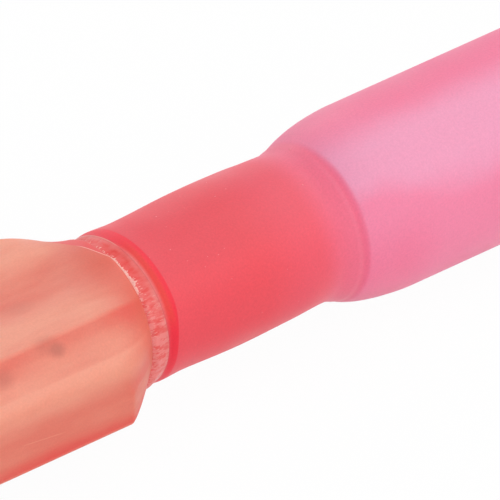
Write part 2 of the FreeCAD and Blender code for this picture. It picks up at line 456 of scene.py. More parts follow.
@dataclass(frozen=True)
class Finish:
    """A material of the terminal.

    Attributes:
        name: The material's name.
        slot: The record's material slot; not used.
    """

    name: str
    slot: str

    def material(self) -> Material:
        """Build the material, unless it is already there.

        Returns:
            The material.
        """
        made = bpy.data.materials.get(self.name)
        if not made:
            made = bpy.data.materials.new(self.name)
            graph = Graph.of(made)
            shader = graph.node("ShaderNodeBsdfPrincipled", self.paint(graph))
            graph.node("ShaderNodeOutputMaterial", {"Surface": shader["BSDF"]})
        return made

    def paint(self, graph: Graph) -> Inputs:
        """Return what the shader's sockets get; each finish has its own way."""
        raise NotImplementedError


@dataclass(frozen=True)
class MilkyPlastic(Finish):
    """A finish that scatters light under its surface.

    Attributes:
        glow: How far red, green and blue light scatters, as shares of glow_depth.
        glow_depth: How deep the light goes.
        glow_share: How much of the light scatters.
        shine: How strong the gloss is.
        dullness: The noise at which the surface is quite smooth, and the one at which it is quite rough.
        relief: How high the noise raises the surface.
    """

    glow: Triple = (1.0, 0.5, 0.5)
    glow_depth: float = 0.5 * MM
    glow_share: float = 0.3
    shine: float = 0.3
    dullness: Range = (-0.9, 2.2)
    relief: float = 0.003 * MM

    def settled(self, colour: Signal, cloud: Signal, grain: Signal) -> Inputs:
        """Return what the shader's sockets get.

        Args:
            colour: The painted colour.
            cloud: The noise that makes the gloss uneven.
            grain: The noise that raises the surface.

        Returns:
            A value for each of the shader's named inputs.
        """
        return {
            "Base Color": colour,
            "Roughness": cloud.span(self.dullness, Ease.STRAIGHT),
            "Subsurface Weight": self.glow_share,
            "Subsurface Radius": self.glow,
            "Subsurface Scale": self.glow_depth,
            "Specular IOR Level": self.shine,
            "Normal": grain.raised(self.relief),
        }


@dataclass(frozen=True)
class MouldedPlastic(MilkyPlastic):
    """A milky plastic with the cloudiness and grain that moulding or drawing leaves.

    Attributes:
        cloud_size: The size of a cloudy patch.
        grain_size: The size of a grain.
        grain_strength: How strongly the grain shows in the colour.
    """

    cloud_size: float = 2.0
    grain_size: float = 0.07
    grain_strength: float = 0.16

    def moulded(self, place: Signal) -> tuple[Signal, Signal]:
        """Add the unevenness of moulded plastic.

        Args:
            place: The whole place.

        Returns:
            The cloudiness and the grain there.
        """
        inputs = {"Place": place, "Cloud size": self.cloud_size, "Grain size": self.grain_size}
        made = Effects.place(place.graph, "moulded", inputs)
        return made["Cloud"], made["Grain"]

    def grained(self, colour: Signal, grain: Signal) -> Signal:
        """Return the colour with the grain in it."""
        inputs = {"Colour": colour, "Grain": grain, "Amount": self.grain_strength}
        return Effects.place(colour.graph, "speckled", inputs)["Colour"]


@dataclass(frozen=True)
class SalmonNylon(MouldedPlastic):
    """Translucent moulded nylon of the housing, with painted highlights along its ribs and painted shade
    beside them.
    """

    glow: Triple = (1.0, 0.45, 0.3)
    glow_depth: float = 0.6 * MM
    shine: float = 0.4
    # The plain colour, then the pale painted highlight and the deep painted shade that the tone lays over
    # it.
    body: Colour = srgb(226, 119, 100)
    pale: Colour = srgb(238, 155, 131)
    deep: Colour = srgb(226, 76, 68)
    lighter: Range = (0.0, 1.0)
    darker: Range = (0.0, -0.9)
    streaks: Streaks = Streaks((0.3, 1.0, 1.0), 1.1)
    streak_strength: float = 1.1
    # The painted light on the near wall's upper part fades towards the shoulder.
    near_side: Range = (0.0, -1.6)
    upper_part: Range = (-0.3, 0.6)
    fading: Range = (-10.6, -8.7)
    fading_strength: float = 0.72
    # The shoulder's rim, a deeper red that is partly its own colour and partly painted shade, stronger on
    # its upper part.
    rim: Colour = srgb(222, 98, 80)
    rim_reach: Range = (-9.3, -8.1)
    rim_rise: Range = (-1.2, 0.6)
    rim_least: float = 0.1
    rim_more: float = 0.6
    # Metal that shows through: each spot's middle, half width and strength.
    shade: Colour = srgb(150, 84, 72)
    spots: tuple[tuple[Triple, float, float], ...] = (
        ((-12.25, -3.23, 2.17), 0.36, 0.4),
        ((-12.6, -3.0, 2.38), 0.5, 0.2),
        ((-11.9, -0.75, 2.35), 0.6, 0.12),
        ((-14.65, -3.32, 2.08), 0.5, 0.25),
        ((-13.6, 1.2, 2.4), 0.7, 0.1),
        ((-16.2, 3.4, -0.6), 0.5, 0.25),
    )
    spot_squeeze: Triple = (0.75, 1.0, 1.0)
    spot_core: float = 0.2
    # The mould's parting line on the side walls, painted as a pale line: a painted highlight along it.
    mark_reach: Range = (-14.5, -12.9)
    mark_fade: float = 0.5
    mark_slope: float = 0.12
    mark_width: Range = (-0.13, -0.1)
    mark_edge: float = 0.03
    mark_strength: float = 0.5
    # Glue that is smeared over the rim, frothy at its edge.
    glue: Colour = srgb(230, 84, 84)
    glue_edge: Range = (-7.96, -7.91)
    glue_slope: float = 0.25
    glue_turn: float = 1.6
    glue_near: float = 0.49
    glue_rise: Range = (1.2, 1.6)
    glue_far: Range = (2.9, 1.3)
    froth: Colour = srgb(252, 190, 180)
    froth_gain: float = 3.4
    froth_side: Range = (0.9, 0.3)
    # The sleeve under the tube.
    sleeve: Colour = srgb(238, 78, 92)
    sleeve_start: Range = (-7.95, -7.7)

    def paint(self, graph: Graph) -> Inputs:
        """Paint the ribs' painted highlights and shade, the rim's painted shade, the shadows that show
        through and the cloudiness.

        Args:
            graph: The material's graph.

        Returns:
            A value for each of the shader's named inputs.
        """
        place = graph.place()
        x, y, z = place.axes()
        cloud, grain = self.moulded(place)
        side = y.span(self.near_side) * z.span(self.upper_part)
        fading = x.span(self.fading) * side * self.fading_strength
        # Painted light: the tone gives painted highlights along the ribs and painted shade beside them.
        light = graph.mark("tone") + self.streaks.at(place).swing(self.streak_strength) - fading
        colour = graph.blend(light.span(self.lighter, Ease.STRAIGHT), self.body, self.pale)
        colour = graph.blend(light.span(self.darker, Ease.STRAIGHT), colour, self.deep)
        # Painted shade over the shoulder's rim, stronger on its upper part.
        level = z.span(self.rim_rise) * self.rim_more + self.rim_least
        colour = graph.blend(x.span(self.rim_reach) * level, colour, self.rim)
        for middle, size, strength in self.spots:
            off = graph.vector("SUBTRACT", place, middle)["Vector"]
            squeezed = graph.vector("MULTIPLY", off, self.spot_squeeze)["Vector"]
            spot = graph.vector("LENGTH", squeezed)["Value"].span((size, size * self.spot_core))
            colour = graph.blend(spot * strength, colour, self.shade)
        # A painted highlight along the mould's parting line.
        colour = graph.blend(self.parting(x, z), colour, self.pale)
        glued = self.smeared(x, y, z)
        colour = graph.blend(glued, colour, self.glue)
        edge = glued * (1.0 - glued) * self.froth_gain
        frothy = graph.math("MULTIPLY", edge, y.span(self.froth_side), clamp=True)
        colour = graph.blend(frothy, colour, self.froth)
        colour = graph.blend(x.span(self.sleeve_start), colour, self.sleeve)
        return self.settled(self.grained(colour, grain), cloud, grain)

    def smeared(self, x: Signal, y: Signal, z: Signal) -> Signal:
        """Return the mask of the glue smeared over the shoulder's rim, wider towards its far side.

        Args:
            x: The place along the terminal.
            y: The place across it.
            z: The place upwards.

        Returns:
            The mask.
        """
        aside = y.graph.math("MINIMUM", y, self.glue_turn) + self.glue_near
        upper = z.span(self.glue_rise) * y.span(self.glue_far)
        return (x + aside * self.glue_slope).span(self.glue_edge) * upper

    def parting(self, x: Signal, z: Signal) -> Signal:
        """Return the mask of the painted highlight along the mould's thin parting line on the side walls.

        Args:
            x: The place along the terminal.
            z: The place upwards.

        Returns:
            The mask.
        """
        drop = z + (x - self.mark_reach[0]) * self.mark_slope
        line = drop.within(self.mark_width, self.mark_edge)
        return line * x.within(self.mark_reach, self.mark_fade) * self.mark_strength


@dataclass(frozen=True)
class PinkJacket(MouldedPlastic):
    """Translucent shrunk tube, red where it lies on the sleeve and pink where it stands free."""

    glow: Triple = (1.0, 0.5, 0.6)
    dullness: Range = (-0.9, 2.1)
    relief: float = 0.002 * MM
    cloud_size: float = 2.2
    grain_strength: float = 0.2
    # The painted highlight along the upper near side, which leans upwards over the grip.
    milk: Range = (0.76, 0.97)
    highlight_soft: float = 0.16
    highlight_lift: float = 0.15
    lift_height: float = 0.8
    lift_reach: Range = (5.0, 1.4)
    # The part that grips the sleeve, cooler towards the sleeve's rim.
    grip: Colour = srgb(236, 80, 91)
    grip_highlight: Colour = srgb(231, 80, 91)
    ring: Colour = srgb(241, 113, 140)
    ring_wander: float = 0.35
    ring_dawn: Range = (-3.4, -0.6)
    ring_dawn_share: float = 0.25
    ring_reach: Range = (-0.8, 0.95)
    # The part that stands free, with painted shade on its upper and lower sides.
    free: Colour = srgb(243, 136, 168)
    free_highlight: Colour = srgb(239, 157, 188)
    free_shade: Colour = srgb(243, 124, 157)
    free_start: Range = (1.05, 1.35)
    free_upper: Range = (1.3, 2.9)
    free_lower: Range = (-0.9, -2.5)
    free_lower_reach: Range = (4.6, 2.4)
    free_lower_share: float = 0.8
    # The pale ridge and the crease over the sleeve's rim.
    line_side: Range = (2.4, 0.8)
    ridge: Colour = srgb(243, 124, 150)
    ridge_reach: Range = (0.88, 1.0)
    ridge_edge: float = 0.12
    ridge_share: float = 0.4
    crease: Colour = srgb(236, 98, 134)
    crease_reach: Range = (1.05, 1.26)
    crease_edge: float = 0.14
    crease_share: float = 0.3
    crease_least: float = 0.15
    # The red band behind the lip: how far the paint moves forward, and where the band lies.
    forward: float = 0.13
    band: Colour = srgb(235, 66, 62)
    band_cool: Colour = srgb(239, 44, 64)
    band_start: Range = (-7.18, -6.98)
    band_end: Range = (-6.54, -6.61)
    upper_side: Range = (1.2, 2.2)
    near_side: Range = (-2.0, 0.4)
    lower_side: Range = (-0.5, -2.2)
    upper_shift: float = 0.07
    near_shift: float = 0.05
    lower_shift: float = 0.18
    cool_reach: Range = (-6.86, -6.66)
    cool_lower: Range = (-0.6, -1.6)
    # A pale line along the lip in front of the band: a painted highlight on its upper side and a softer
    # one on its near side.
    lip: Colour = srgb(246, 150, 142)
    lip_highlight_reach: Range = (-7.045, -7.085)
    lip_highlight_side: Range = (1.5, 2.1)
    soft_highlight_reach: Range = (-6.92, -7.08)
    soft_highlight_share: float = 0.42

    def paint(self, graph: Graph) -> Inputs:
        """Paint the zones along the tube, its painted highlight and painted shade and the fine grain in
        it.

        Args:
            graph: The material's graph.

        Returns:
            A value for each of the shader's named inputs.
        """
        place = graph.place()
        x, y, z = place.axes()
        cloud, grain = self.moulded(place)
        up = height(y, z)
        milk = self.highlight_mask(place, x, up, cloud)
        # Painted highlight along the tube's upper near side.
        colour = graph.blend(milk, self.grip, self.grip_highlight)
        along = x + cloud.swing(self.ring_wander)
        colour = graph.blend(along.span(self.ring_dawn) * self.ring_dawn_share, colour, self.ring)
        colour = graph.blend(along.span(self.ring_reach), colour, self.ring)
        free = graph.blend(milk, self.free, self.free_highlight)
        # Painted shade on the free part's upper and lower sides.
        free = graph.blend(up.span(self.free_upper), free, self.free_shade)
        low = up.span(self.free_lower) * x.span(self.free_lower_reach) * self.free_lower_share
        free = graph.blend(low, free, self.free_shade)
        colour = graph.blend(x.span(self.free_start), colour, free)
        shown = up.span(self.line_side)
        ridge = x.within(self.ridge_reach, self.ridge_edge) * (shown * self.ridge_share)
        colour = graph.blend(ridge, colour, self.ridge)
        crease = x.within(self.crease_reach, self.crease_edge)
        crease = crease * (shown * self.crease_share + self.crease_least)
        colour = graph.blend(crease, colour, self.crease)
        colour = self.banded(colour, x + self.forward, up)
        return self.settled(self.grained(colour, grain), cloud, grain)

    def banded(self, colour: Signal, front: Signal, up: Signal) -> Signal:
        """Return the colour with the red band and the lip's painted highlight over it.

        Args:
            colour: The tube's colour.
            front: The place along the tube.
            up: The height in the main view.

        Returns:
            The new colour.
        """
        graph = colour.graph
        upper = up.span(self.upper_side)
        near = up.span(self.near_side) * (1.0 - upper)
        cool = upper.most(front.span(self.cool_reach)).most(up.span(self.cool_lower))
        moved = upper * self.upper_shift - near * self.near_shift
        starts = (front + moved).span(self.band_start)
        ends = (front + up.span(self.lower_side) * self.lower_shift).span(self.band_end)
        red = graph.blend(cool, self.band, self.band_cool)
        colour = graph.blend(starts * ends, colour, red)
        # Painted highlight along the lip.
        lip = front.span(self.lip_highlight_reach) * up.span(self.lip_highlight_side)
        soft = front.span(self.soft_highlight_reach) * near * self.soft_highlight_share
        return graph.blend(lip.most(soft), colour, self.lip)

    def highlight_mask(self, place: Signal, x: Signal, up: Signal, cloud: Signal) -> Signal:
        """Return the mask of the painted highlight: a broad streak along the tube's upper near side.

        Args:
            place: The whole place.
            x: The place along the tube.
            up: The height in the main view.
            cloud: The cloudiness that softens the streak's sides.

        Returns:
            The streak's mask.
        """
        graph = place.graph
        flat = graph.vector("MULTIPLY", place, (0.0, 1.0, 1.0))["Vector"]
        outward = graph.vector("NORMALIZE", flat)["Vector"]
        facing = graph.vector("DOT_PRODUCT", outward, LIT_SIDE)["Value"]
        lifted = (up - self.lift_height) * x.span(self.lift_reach) * self.highlight_lift
        return (facing + lifted + cloud.swing(self.highlight_soft)).span(self.milk)


@dataclass(frozen=True)
class HotMelt(MilkyPlastic):
    """Hot-melt adhesive: waxy coral film, whitish where it froths at the bead."""

    glow: Triple = (1.0, 0.5, 0.45)
    glow_depth: float = 0.4 * MM
    dullness: Range = (-0.5, 2.4)
    relief: float = 0.02 * MM
    streaks: Streaks = Streaks((0.4, 1.0, 1.0), 6.0)
    film: Colour = srgb(230, 68, 64)
    # Haze in the film, mottled on the lower side and level beside the tube's lip.
    haze: Colour = srgb(239, 134, 130)
    haze_reach: Range = (0.35, 0.65)
    haze_share: float = 0.26
    lower_side: Range = (0.9, -1.5)
    mottle_reach: Range = (0.38, 0.64)
    mottle_share: float = 0.75
    mottle_least: float = 0.25
    edge_reach: Range = (-7.47, -7.33)
    edge_share: float = 0.22
    # Froth, torn into teeth.
    froth: Colour = srgb(252, 190, 180)
    froth_reach: Range = (0.6, 0.8)
    teeth: Streaks = Streaks((0.3, 1.0, 1.0), 15.0, 2.0)
    teeth_strength: float = 1.3

    def paint(self, graph: Graph) -> Inputs:
        """Paint the film and the whitish froth on the bead.

        Args:
            graph: The material's graph.

        Returns:
            A value for each of the shader's named inputs.
        """
        place = graph.place()
        x, y, z = place.axes()
        streaks = self.streaks.at(place)
        mottled = streaks.span(self.mottle_reach) * self.mottle_share + self.mottle_least
        lower = height(y, z).span(self.lower_side)
        hazy = streaks.span(self.haze_reach) * self.haze_share + lower * mottled
        colour = graph.blend(hazy, self.film, self.haze)
        colour = graph.blend(x.span(self.edge_reach) * self.edge_share, colour, self.haze)
        torn = graph.mark("froth") + self.teeth.at(place).swing(self.teeth_strength)
        colour = graph.blend(torn.span(self.froth_reach), colour, self.froth)
        return self.settled(colour, streaks, streaks)


@dataclass(frozen=True)
class PaleLump(Finish):
    """A tiny pale lump: an air bubble in the glue, or a speck of dust or resin on the tube."""

    tint: Colour = srgb(254, 206, 196)
    shaded_tint: Colour = srgb(238, 140, 134)
    cloud_scale: float = 5.0
    cloud_reach: Range = (0.35, 0.65)
    least: float = 0.4
    upper_side: Range = (-0.5, 1.0)
    roughness: float = 0.3

    def paint(self, graph: Graph) -> Inputs:
        """Paint the lump, with painted shade making it duller on the lower side, and cloudy like what it
        lies on.

        Args:
            graph: The material's graph.

        Returns:
            A value for each of the shader's named inputs.
        """
        place = graph.place()
        _, y, z = place.axes()
        cloudy = place.cloud(self.cloud_scale).span(self.cloud_reach) + self.least
        # Painted shade: the lump is duller towards the lower side.
        lit_share = graph.math("MULTIPLY", cloudy, height(y, z).span(self.upper_side), clamp=True)
        return {"Base Color": graph.blend(lit_share, self.shaded_tint, self.tint), "Roughness": self.roughness}


@dataclass(frozen=True)
class TinnedBrass(Finish):
    """Thin satin tin over brass, with bare brass on the sheared end faces."""

    tin: Colour = srgb(196, 194, 188)
    bright_tin: Colour = (0.9, 0.9, 0.88)
    brass: Colour = srgb(204, 168, 96)
    rolling: Streaks = Streaks((0.15, 4.0, 4.0), 5.0)
    rolling_share: float = 0.3
    sheared: Range = (0.85, 0.98)
    sheared_share: float = 0.8
    metallic: float = 0.75
    dullness: Range = (-0.6, 2.0)
    relief: float = 0.003 * MM

    def paint(self, graph: Graph) -> Inputs:
        """Paint the rolled tin and the sheared edges.

        Args:
            graph: The material's graph.

        Returns:
            A value for each of the shader's named inputs.
        """
        facing = graph.node("ShaderNodeTexCoord")["Normal"].axes()[0]
        sheared = graph.math("ABSOLUTE", facing).span(self.sheared)
        lines = self.rolling.at(graph.place())
        tin = graph.blend(lines * self.rolling_share, self.tin, self.bright_tin)
        return {
            "Base Color": graph.blend(sheared * self.sheared_share, tin, self.brass),
            "Metallic": self.metallic,
            "Roughness": lines.span(self.dullness),
            "Normal": lines.raised(self.relief),
        }


@dataclass(frozen=True)
class PaleFloor:
    """White floor that the camera sees as paper white, with the terminal's soft shadow on it."""

    name: str = "pale_floor"
    sheet: Colour = (0.92, 0.92, 0.92)
    paper: float = 0.97

    def material(self) -> Material:
        """Build the floor's material.

        Returns:
            The material.
        """
        made = bpy.data.materials.new(self.name)
        graph = Graph.of(made)
        lit = graph.node("ShaderNodeBsdfDiffuse", {"Color": self.sheet})["BSDF"]
        white = graph.node("ShaderNodeEmission", {"Color": WHITE, "Strength": 1.0})["Emission"]
        both = graph.node("ShaderNodeMixShader", {0: graph.seen() * self.paper, 1: lit, 2: white})
        graph.node("ShaderNodeOutputMaterial", {"Surface": both["Shader"]})
        return made


@dataclass
class RingShell:
    """A closed shell woven from rings of points round the X axis, the last ring joined to the first.

    Attributes:
        name: The piece's name.
        rings: The rings, each a list of as many points: the outside towards +X, then the inside back.
        marks: A number at every point for each named attribute.
    """

    name: str
    rings: list[list[Vector]] = field(default_factory=list)
    marks: dict[str, list[float]] = field(default_factory=dict)

    def add(self, ring: list[Vector], **marks: list[float] | float) -> None:
        """Append a ring.

        Args:
            ring: The ring's points.
            **marks: For each named attribute a number for the whole ring, or one for each point.
        """
        self.rings.append(ring)
        for title, value in marks.items():
            row = value if isinstance(value, list) else [value] * len(ring)
            self.marks.setdefault(title, []).extend(row)

    def weave(self) -> Object:
        """Make the mesh, smooth shaded, with its faces outwards, and link its object into the scene.

        Returns:
            The object.
        """
        count = len(self.rings[0])
        points = [point for ring in self.rings for point in ring]
        faces = []
        for turn in range(len(self.rings)):
            this = turn * count
            after = (turn + 1) % len(self.rings) * count
            for step in range(count):
                beside = (step + 1) % count
                faces.append((this + step, this + beside, after + beside, after + step))
        mesh = bpy.data.meshes.new(self.name)
        mesh.from_pydata(points, [], faces)
        mesh.polygons.foreach_set("use_smooth", [True] * len(faces))
        for title, values in self.marks.items():
            mesh.attributes.new(title, "FLOAT", "POINT").data.foreach_set("value", values)
        mesh.update()
        return link(bpy.data.objects.new(self.name, mesh))


@dataclass(frozen=True)
class Profile:
    """A smooth line of radius over X through a few stations, with level or sloping passages between them.

    Attributes:
        stations: The (x, radius) pairs in order.
    """

    stations: tuple[Range, ...]

    def at(self, x: float) -> float:
        """Return the radius at x, on a monotone cubic through the stations.

        Args:
            x: The place.

        Returns:
            The radius, level before the first station and after the last.
        """
        points = self.stations
        if x <= points[0][0]:
            return points[0][1]
        if x >= points[-1][0]:
            return points[-1][1]
        index = max(i for i, point in enumerate(points) if point[0] <= x)
        (x0, r0), (x1, r1) = points[index], points[index + 1]
        width = x1 - x0
        share = (x - x0) / width
        start = self._slope(index) * width
        end = self._slope(index + 1) * width
        squared = share * share
        cubed = squared * share
        return (
            (2 * cubed - 3 * squared + 1) * r0
            + (cubed - 2 * squared + share) * start
            + (3 * squared - 2 * cubed) * r1
            + (cubed - squared) * end
        )

    def _slope(self, index: int) -> float:
        """Return the line's slope at one station.

        Args:
            index: The station's number.

        Returns:
            The slope, level at a crest, a dip and both ends.
        """
        points = self.stations
        if index in (0, len(points) - 1):
            return 0.0
        (xa, ra), (xb, rb), (xc, rc) = points[index - 1 : index + 2]
        before = (rb - ra) / (xb - xa)
        after = (rc - rb) / (xc - xb)
        return 2 * before * after / (before + after) if before * after > 0 else 0.0


def steps(start: float, *legs: tuple[float, int]) -> list[float]:
    """Return the places along one or more legs.

    Args:
        start: The first place.
        *legs: The end of each leg, and how many even steps lead there.

    Returns:
        The places in order, each once.
    """
    places = [start]
    for end, count in legs:
        begin = places[-1]
        places += [begin + (end - begin) * i / count for i in range(1, count + 1)]
    return places


def link(made: Object) -> Object:
    """Link an object into the scene and return it."""
    bpy.context.scene.collection.objects.link(made)
    return made


def dress(piece: Object, finish: Finish, *nodes: str) -> Object:
    """Give a piece its finish, put it on the body and let it stand for the solids it replaces.

    Args:
        piece: The finished mesh object.
        finish: The finish it gets.
        *nodes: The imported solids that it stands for.

    Returns:
        The piece.
    """
    piece.data.materials.clear()
    piece.data.materials.append(finish.material())
    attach(piece, BODY)
    if nodes:
        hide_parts(*nodes)
    LOG.info("%s: %d faces", piece.name, len(piece.data.polygons))
    return piece


class Side(IntEnum):
    """The hood's sides, from the far upper chamfer over the top; the near side faces -Y."""

    FAR_UPPER = 0
    TOP = 1
    NEAR_UPPER = 2
    NEAR = 3
    NEAR_LOWER = 4
    BOTTOM = 5
    FAR_LOWER = 6
    FAR = 7


@dataclass(frozen=True)
class Tone:
    """The painted highlights and shade across one side of the hood.

    Attributes:
        plain: The tone where the side starts.
        ramps: The strength of each change, and the shares of the way between which it comes.
    """

    plain: float
    ramps: tuple[tuple[float, Range], ...]

    def at(self, share: float) -> float:
        """Return 1 for a painted highlight, 0 for the plain colour, below 0 for painted shade."""
        return self.plain + sum(strength * ramp(share, reach) for strength, reach in self.ramps)


@dataclass
class NylonHousing:
    """Moulded housing: fluted eight-sided hood, domed shoulder, sleeve under the tube and wire funnel."""

    finish: SalmonNylon
    # The hood's section.
    chamfer: float = 1.3 * MM
    lower_chamfer: float = 1.55 * MM
    channel_width: float = 2.9 * MM
    channel_depth: float = 0.15 * MM
    flute_depth: float = 0.1 * MM
    flute_land: float = 0.28 * MM
    crisp_edge: float = 0.12 * MM
    soft_edge: float = 0.36 * MM
    side_steps: int = 22
    corner_steps: int = 6
    # The wall's painted highlights and shade: over half a flat side from its middle, down an upper
    # chamfer, down a side wall and up a lower chamfer.
    flat_tone: Tone = Tone(0.0, ((0.94, (0.08, 0.64)), (-0.5, (0.94, 1.0))))
    # The bottom gets a weaker share of the painted highlights.
    bottom_share: float = 0.6
    upper_tone: Tone = Tone(0.1, ((0.58, (0.1, 0.62)), (0.38, (0.72, 0.8)), (-0.38, (0.93, 1.01))))
    wall_tone: Tone = Tone(0.95, ((-0.95, (0.02, 0.48)), (0.12, (0.5, 0.65)), (-0.9, (0.68, 0.98))))
    lower_tone: Tone = Tone(0.1, ((0.6, (0.2, 0.8)), (-0.8, (0.85, 1.0))))
    # The hood's length and the shoulder, which starts later and straighter at the sharp lower corners.
    hood_length: float = 10.5 * MM
    end_round: float = 0.06 * MM
    end_share: float = 0.3
    shoulder_length: float = 2.0 * MM
    shoulder_lead: float = 0.25 * MM
    shoulder_fullness: float = 1.6
    sharp_fullness: float = 1.15
    sharp_reach: Range = (0.88, 0.94)
    shoulder_rim: float = 2.75 * MM
    shoulder_rise: float = 0.17 * MM
    rise_length: float = 1.2 * MM
    rim_round: float = 0.03 * MM
    rim_share: float = 0.6
    hood_steps: int = 24
    shoulder_steps: int = 30
    # The sleeve, its flared rim and the way through.
    junction_step: float = 0.002 * MM
    sleeve_radius: float = 2.1 * MM
    flare_length: float = 0.7 * MM
    rim_flare: float = 0.15 * MM
    rim_wall: float = 0.25 * MM
    bore: float = 1.5 * MM
    bore_start: float = -8.0 * MM
    passage: float = 2.101 * MM
    passage_end: float = -9.0 * MM
    funnel_steps: int = 4
    # The cavity for the receptacle.
    cavity_start: float = -9.95 * MM
    cavity_width: float = 7.4 * MM
    cavity_height: float = 3.0 * MM
    cavity_corner: float = 0.6 * MM
    cavity_steps: int = 12
    mouth_bevel: float = 0.2 * MM

    def __post_init__(self) -> None:
        """Read the housing's reach from its solid and lay out its section."""
        low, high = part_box("nylon_housing")
        self.mouth = low.x
        self.sleeve_end = high.x
        self.half_width = high.y
        self.half_height = high.z
        self.hood_end = self.mouth + self.hood_length
        self.junction = self.hood_end + self.shoulder_length
        self.section = self.lay_section()

    def corners(self) -> list[Range]:
        """Lay out the hood's corners.

        Returns:
            The y and z at which each side starts, in the sides' order.
        """
        y, z = self.half_width, self.half_height
        edge, upper, lower = z - self.chamfer, y - self.chamfer, y - self.lower_chamfer
        above = [(y, edge), (upper, z), (-upper, z), (-y, edge)]
        return above + [(-y, -edge), (-lower, -z), (lower, -z), (y, -edge)]

    def inset(self, corner: int) -> float:
        """Return how far from a corner its rounding starts: soft over the side walls, crisp elsewhere."""
        return self.soft_edge if corner in (Side.FAR_UPPER, Side.NEAR) else self.crisp_edge

    def sunk(self, side: Side, share: float, length: float) -> float:
        """Return how deep the groove of a side lies.

        Args:
            side: The side.
            share: How far along the side the place is.
            length: The side's length.

        Returns:
            The depth under the flat side.
        """
        if side in (Side.NEAR, Side.FAR):
            return 0.0
        if side in (Side.TOP, Side.BOTTOM):
            off = abs(share - 0.5) * length / (self.channel_width / 2)
            return self.channel_depth * max(0.0, 1 - off * off)
        from_narrow = share if side in (Side.FAR_UPPER, Side.NEAR_LOWER) else 1 - share
        run = (from_narrow * length - self.flute_land) / (length - self.flute_land)
        off = 2 * run - 1
        return self.flute_depth * (1 - off * off) if run > 0 else 0.0

    def tone(self, side: Side, share: float) -> float:
        """Return the painted highlight or shade of the wall at a place on the hood.

        Args:
            side: The side.
            share: How far along the side the place is.

        Returns:
            The tone, as Tone gives it: a painted highlight above 0 and painted shade below 0.
        """
        if side in (Side.TOP, Side.BOTTOM):
            light = self.flat_tone.at(abs(share - 0.5) * 2)
            return light if side == Side.TOP else light * self.bottom_share
        run = share if side in (Side.NEAR_UPPER, Side.NEAR, Side.FAR_LOWER) else 1 - share
        if side in (Side.NEAR_UPPER, Side.FAR_UPPER):
            return self.upper_tone.at(run)
        return (self.wall_tone if side in (Side.NEAR, Side.FAR) else self.lower_tone).at(run)

    def lay_section(self) -> list[Triple]:
        """Lay out the hood's outer section: grooved sides and rounded corners.

        Returns:
            The y, z and painted tone at each point.
        """
        corners = self.corners()
        ends = corners[1:] + corners[:1]
        runs: list[list[Triple]] = []
        for side, (y0, z0), (y1, z1) in zip(Side, corners, ends):
            length = math.hypot(y1 - y0, z1 - z0)
            start = self.inset(side) / length
            end = 1 - self.inset((side + 1) % len(corners)) / length
            runs.append([])
            for share in steps(start, (end, self.side_steps)):
                depth = self.sunk(side, share, length)
                y = y0 + (y1 - y0) * share - (z1 - z0) / length * depth
                z = z0 + (z1 - z0) * share + (y1 - y0) / length * depth
                runs[-1].append((y, z, self.tone(side, share)))
        section = []
        for run, after, tip in zip(runs, runs[1:] + runs[:1], ends):
            (ya, za, before), (yb, zb, beyond) = run[-1], after[0]
            section += run
            for share in steps(0.0, (1.0, self.corner_steps))[1:-1]:
                rest = 1 - share
                y = rest * rest * ya + 2 * rest * share * tip[0] + share * share * yb
                z = rest * rest * za + 2 * rest * share * tip[1] + share * share * zb
                section.append((y, z, rest * before + share * beyond))
        return section

    def outer_ring(self, x: float, inset: float = 0.0) -> list[Vector]:
        """Return the outer ring at x, from the hood's section to the shoulder's round rim.

        Args:
            x: The ring's place.
            inset: How far it is drawn in towards the axis.

        Returns:
            The ring's points.
        """
        ring = []
        rise = self.shoulder_rise * ramp(x, (self.junction - self.rise_length, self.junction))
        for y, z, _ in self.section:
            reach = math.hypot(y, z)
            sharp = ramp(abs(y) / reach, self.sharp_reach) if z < 0 else 0.0
            lead = self.hood_end - self.shoulder_lead * (1 - sharp)
            fullness = self.shoulder_fullness + (self.sharp_fullness - self.shoulder_fullness) * sharp
            share = max((x - lead) / (self.junction - lead), 0.0) ** fullness
            scale = 1 - share + (share * self.shoulder_rim - inset) / reach
            top = min(max(z * scale, -self.half_height), self.half_height + rise)
            ring.append(Vector((x, y * scale, top)))
        return ring

    def inner_ring(self, x: float, half_y: float, half_z: float, corner: float) -> list[Vector]:
        """Return a rounded rectangle, which is a circle where the three sizes are its radius.

        Args:
            x: The ring's place.
            half_y: Half its width.
            half_z: Half its height.
            corner: The radius of its corners.

        Returns:
            The ring's points, which face the section's points.
        """
        middle_y, middle_z = half_y - corner, half_z - corner
        ring = []
        for y, z, _ in self.section:
            reach = math.hypot(y, z)
            uy, uz = abs(y) / reach, abs(z) / reach
            scale = min(half / share for half, share in ((half_y, uy), (half_z, uz)) if share)
            across, up = uy * scale, uz * scale
            if across > middle_y and up > middle_z:
                along = uy * middle_y + uz * middle_z
                reach = along + math.sqrt(max(0.0, along * along - middle_y**2 - middle_z**2 + corner**2))
                across, up = uy * reach, uz * reach
            ring.append(Vector((x, math.copysign(across, y), math.copysign(up, z))))
        return ring

